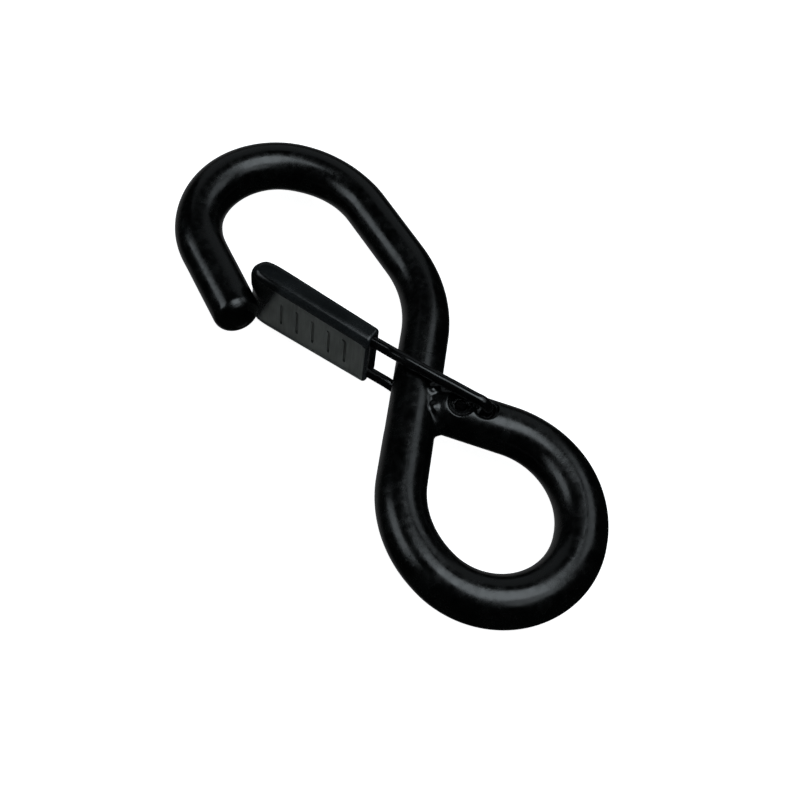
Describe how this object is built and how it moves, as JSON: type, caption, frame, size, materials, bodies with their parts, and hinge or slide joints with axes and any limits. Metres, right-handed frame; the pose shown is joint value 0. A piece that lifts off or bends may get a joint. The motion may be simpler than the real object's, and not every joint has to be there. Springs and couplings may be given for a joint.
{
  "type": "safety chain hook",
  "caption": "Round-bar S-hook with a welded closed eye at one end and a sprung wire gate with a ribbed grip sleeve closing the bow at the other.",
  "frame": {"origin": "centre of the eye's round end, in the middle plane of the bent bar", "axes": "+Y along the hook from the eye to the bow, +Z along the normal of the bend plane, +X to the side on which the eye's butt end closes"},
  "size_m": [0.0546, 0.1378, 0.0188],
  "materials": {
    "bar_coat": "satin",
    "spring_wire": "semi-gloss",
    "grip": "fine moulded texture"
  },
  "bodies": {
    "hook": {"hook_bar": "bar_coat", "eye_weld": "bar_coat"},
    "gate": {"gate_wire": "spring_wire", "gate_sleeve": "grip"}
  },
  "joints": [
    {"name": "gate_hinge", "type": "hinge", "parent": "hook", "child": "gate", "pos_m": [0.01104, 0.02183, 0], "axis": [0, 0, 1], "range_deg": [-13.5, 0], "stiffness_Nm_per_rad": 1.5, "springref_deg": 11.46, "deforming": ["gate_wire"]}
  ]
}
